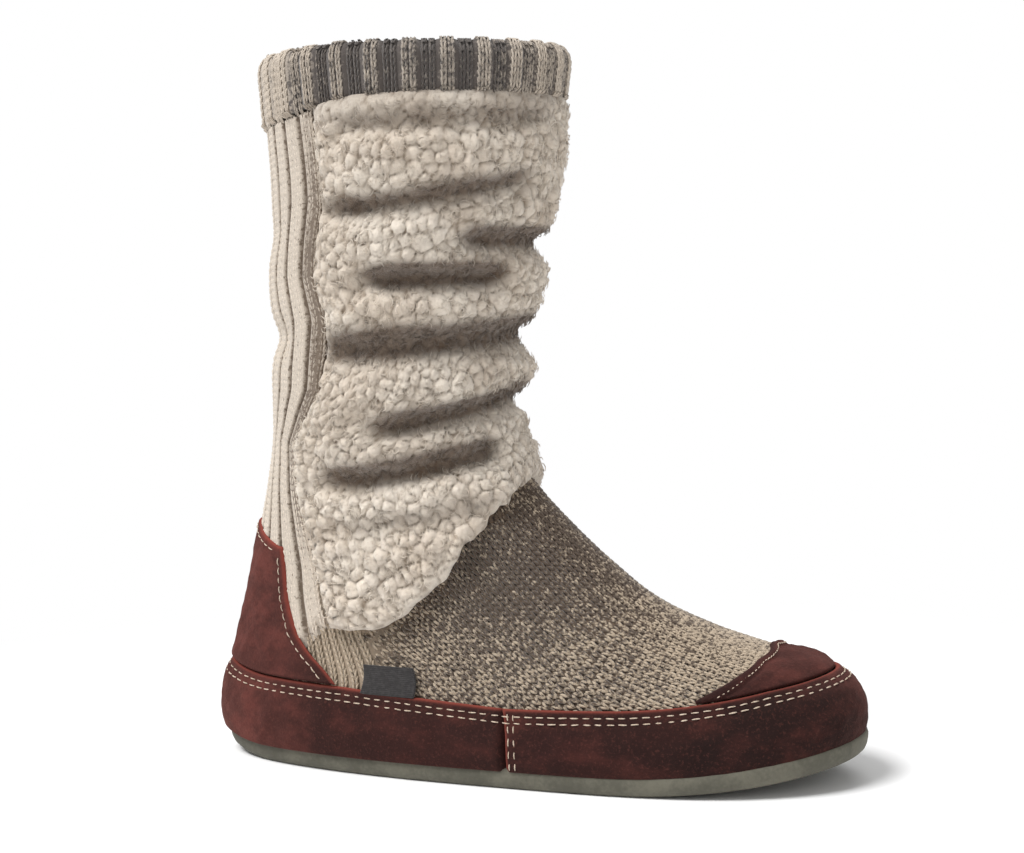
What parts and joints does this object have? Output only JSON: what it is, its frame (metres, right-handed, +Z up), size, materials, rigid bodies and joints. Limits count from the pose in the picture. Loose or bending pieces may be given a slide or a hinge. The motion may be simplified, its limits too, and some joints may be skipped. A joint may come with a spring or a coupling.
{
  "type": "slouch boot",
  "caption": "Pull-on slouch boot with a knitted foot, a creased fleece shaft, a ribbed cuff, and a suede rand, toe cap and heel counter over a flat soft sole.",
  "frame": {"origin": "middle of the heel's flat tread, on the floor", "axes": "+X to the toe, +Y to the inner side of this right boot, +Z up"},
  "size_m": [0.2764, 0.107, 0.2924],
  "materials": {
    "sole_rubber": "matt grey-green rubber",
    "insole_pile": "short cream pile",
    "ragg_knit": "marled wool stockinette",
    "shaft_pile": "curly cream fleece",
    "rib_knit": "light ribbed wool knit",
    "cuff_knit": "grey-brown ribbed wool knit",
    "suede": "burgundy suede",
    "label_cloth": "plain woven grey tape"
  },
  "bodies": {
    "root": {"outsole": "sole_rubber", "insole": "insole_pile", "upper": "ragg_knit", "shaft_fleece": "shaft_pile", "back_rib": "rib_knit", "cuff": "cuff_knit", "rand_front": "suede", "rand_back": "suede", "toe_cap": "suede", "heel_counter": "suede", "tag": "label_cloth"}
  },
  "joints": []
}
